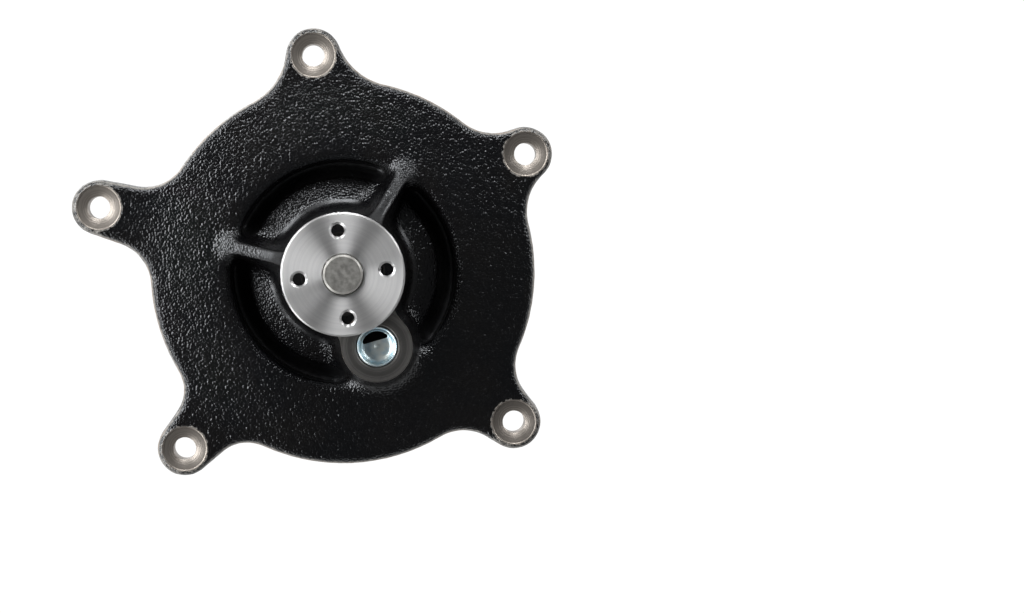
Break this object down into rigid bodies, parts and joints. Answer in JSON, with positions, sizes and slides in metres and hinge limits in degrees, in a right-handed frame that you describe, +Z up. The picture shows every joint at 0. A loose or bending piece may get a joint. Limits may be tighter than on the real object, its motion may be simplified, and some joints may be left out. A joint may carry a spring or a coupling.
{
  "type": "engine water pump",
  "caption": "Cover-type engine coolant pump: black cast housing with bolt lugs, flat pulley hub on an integral-shaft bearing, face seal, open vaned impeller and sealing ring.",
  "frame": {"origin": "where the shaft axis meets the mounting face of the housing", "axes": "Y along the shaft with the pulley hub facing -Y and the impeller +Y, +Z up, +X to the right of someone facing the hub"},
  "size_m": [0.2378, 0.0995, 0.2216],
  "materials": {
    "painted_casting": "gloss black paint over a rough iron casting, bare machined seats",
    "black_rubber": "smooth moulded black rubber",
    "zinc_plated_steel": "bright blue-white zinc plate on pressed steel",
    "bearing_steel": "ground hardened steel",
    "turned_steel": "satin steel with fine circular tool marks",
    "spring_steel": "drawn stainless wire and pressed sheet",
    "seal_brass": "deep-drawn brass",
    "seal_carbon": "lapped carbon graphite",
    "seal_ceramic": "lapped white ceramic",
    "bare_casting": "grey iron as cast, machined bore and faces",
    "cage_nylon": "moulded glass-filled nylon"
  },
  "bodies": {
    "casting": {"housing": "painted_casting", "gasket": "black_rubber", "weep_plug": "zinc_plated_steel", "bearing_outer_ring": "bearing_steel", "front_bearing_seal": "black_rubber", "rear_bearing_seal": "black_rubber", "seal_case": "seal_brass", "seal_bellows": "black_rubber", "seal_spring": "spring_steel", "seal_carrier": "spring_steel", "carbon_ring": "seal_carbon"},
    "rotor": {"bearing_shaft": "bearing_steel", "hub": "turned_steel", "impeller": "bare_casting", "seal_seat": "seal_ceramic", "seat_boot": "black_rubber"},
    "ball_row": {"ball_cage": "cage_nylon", "ball_1": "bearing_steel", "ball_2": "bearing_steel", "ball_3": "bearing_steel", "ball_4": "bearing_steel", "ball_5": "bearing_steel", "ball_6": "bearing_steel", "ball_7": "bearing_steel", "ball_8": "bearing_steel"},
    "roller_row": {"roller_cage": "cage_nylon", "roller_1": "bearing_steel", "roller_2": "bearing_steel", "roller_3": "bearing_steel", "roller_4": "bearing_steel", "roller_5": "bearing_steel", "roller_6": "bearing_steel", "roller_7": "bearing_steel", "roller_8": "bearing_steel", "roller_9": "bearing_steel", "roller_10": "bearing_steel"}
  },
  "joints": [
    {"name": "shaft_spin", "type": "hinge", "parent": "casting", "child": "rotor", "pos_m": [0, 0, 0], "axis": [0, 1, 0], "continuous": true},
    {"name": "ball_row_orbit", "type": "hinge", "parent": "casting", "child": "ball_row", "pos_m": [0, 0, 0], "axis": [0, 1, 0], "continuous": true},
    {"name": "roller_row_orbit", "type": "hinge", "parent": "casting", "child": "roller_row", "pos_m": [0, 0, 0], "axis": [0, 1, 0], "continuous": true}
  ],
  "couplings": [
    {"joint": "ball_row_orbit", "follows": "shaft_spin", "ratio": 0.3645},
    {"joint": "roller_row_orbit", "follows": "shaft_spin", "ratio": 0.3927}
  ]
}
